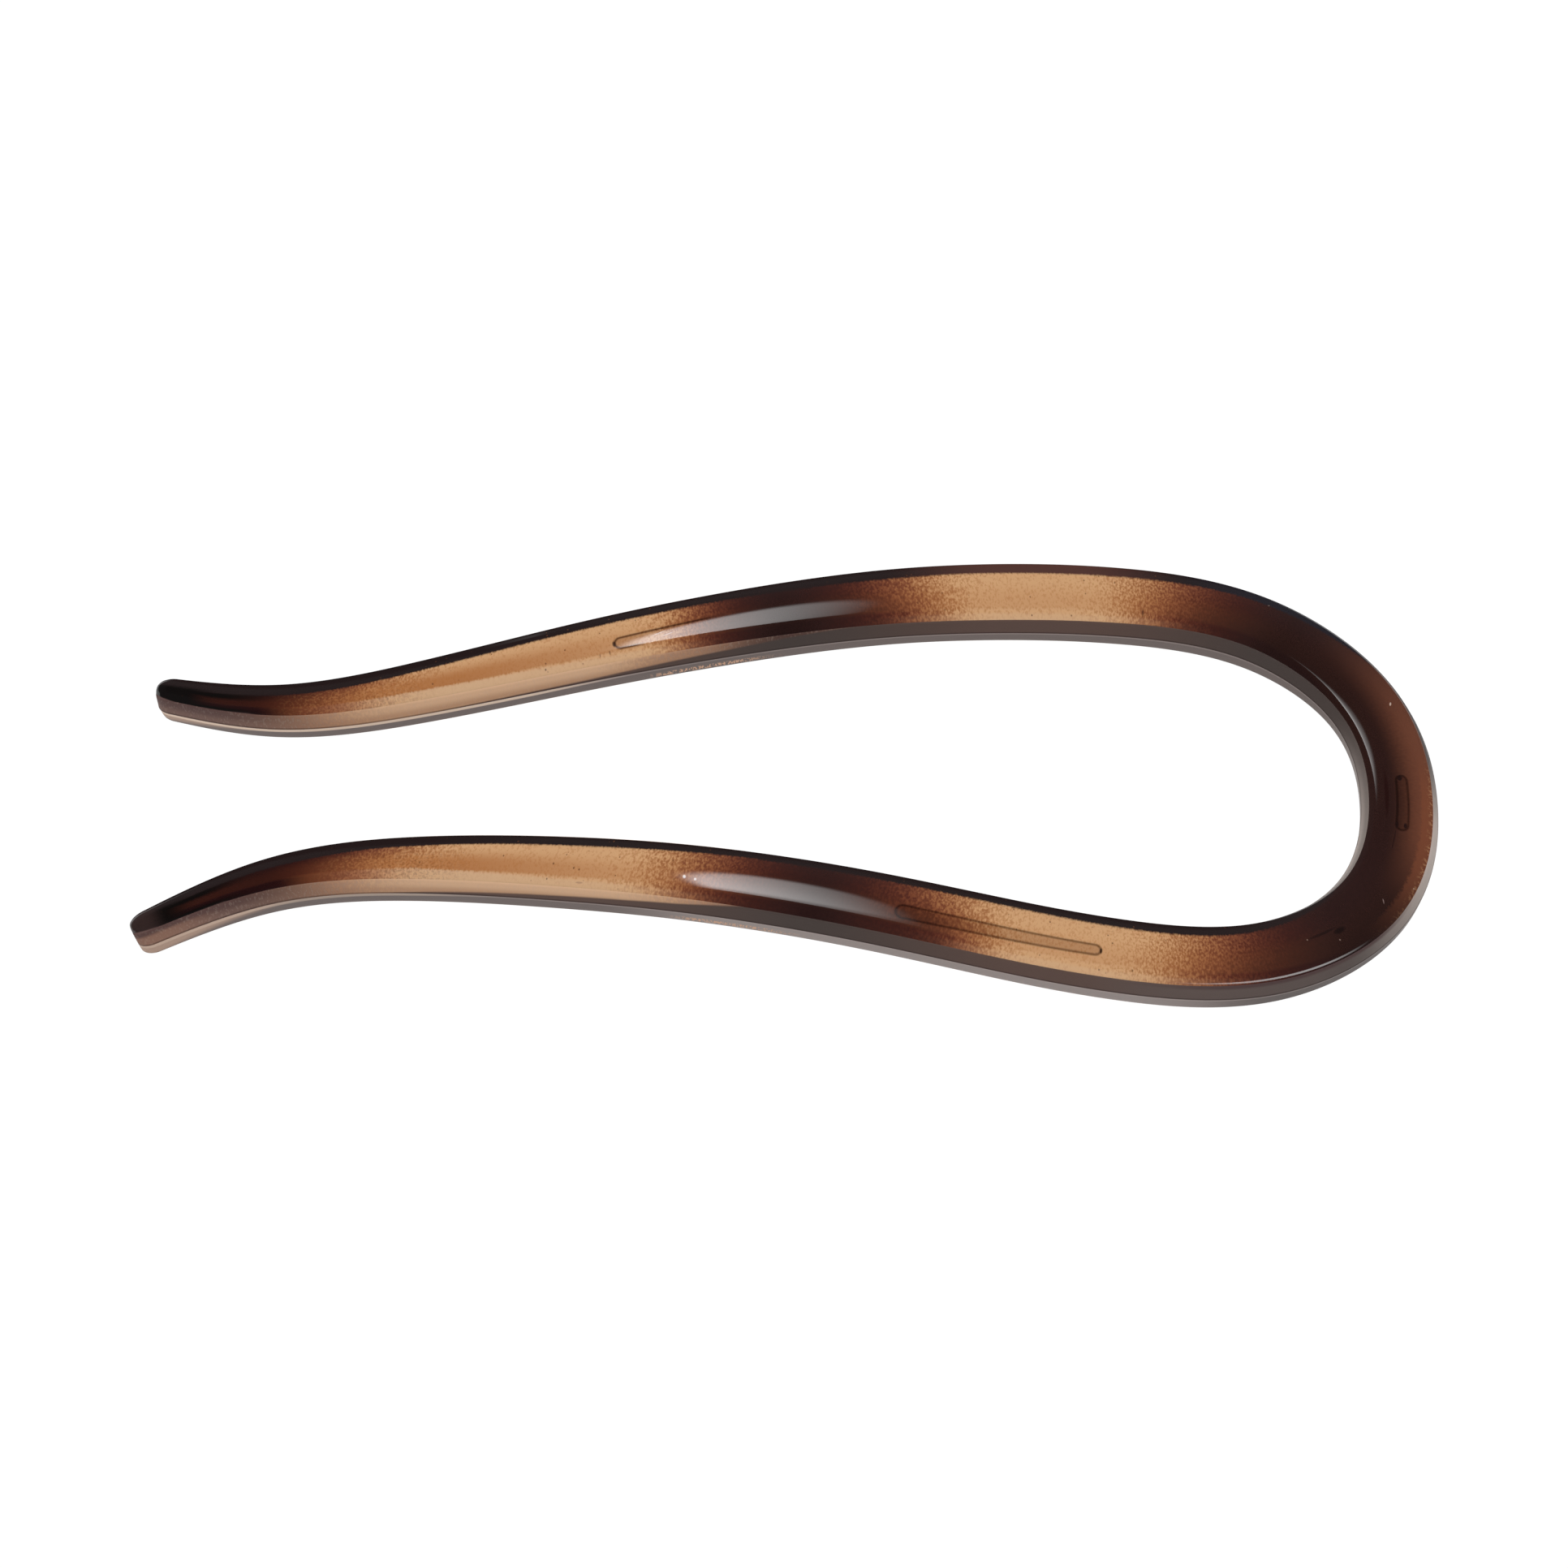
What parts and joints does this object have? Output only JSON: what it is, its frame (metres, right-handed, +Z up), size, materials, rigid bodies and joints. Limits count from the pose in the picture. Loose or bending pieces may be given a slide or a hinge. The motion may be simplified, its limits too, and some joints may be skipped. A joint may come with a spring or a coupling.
{
  "type": "french hair pin",
  "caption": "Moulded U-shaped hair pin: a long arched bow whose wavy legs narrow to blunt, outward-turned tips, in translucent plastic banded amber and dark brown.",
  "frame": {"origin": "on the surface that the pin lies on, under the middle of its length and width", "axes": "+X towards the bend, along the length; +Y across the two legs; +Z up, the way the pin arches"},
  "size_m": [0.1308, 0.0532, 0.0132],
  "materials": {
    "tortoiseshell": "translucent moulded plastic in soft bands of amber and dark brown, polished on top, fine satin on the walls and the underside"
  },
  "bodies": {
    "root": {"pin": "tortoiseshell"}
  },
  "joints": []
}
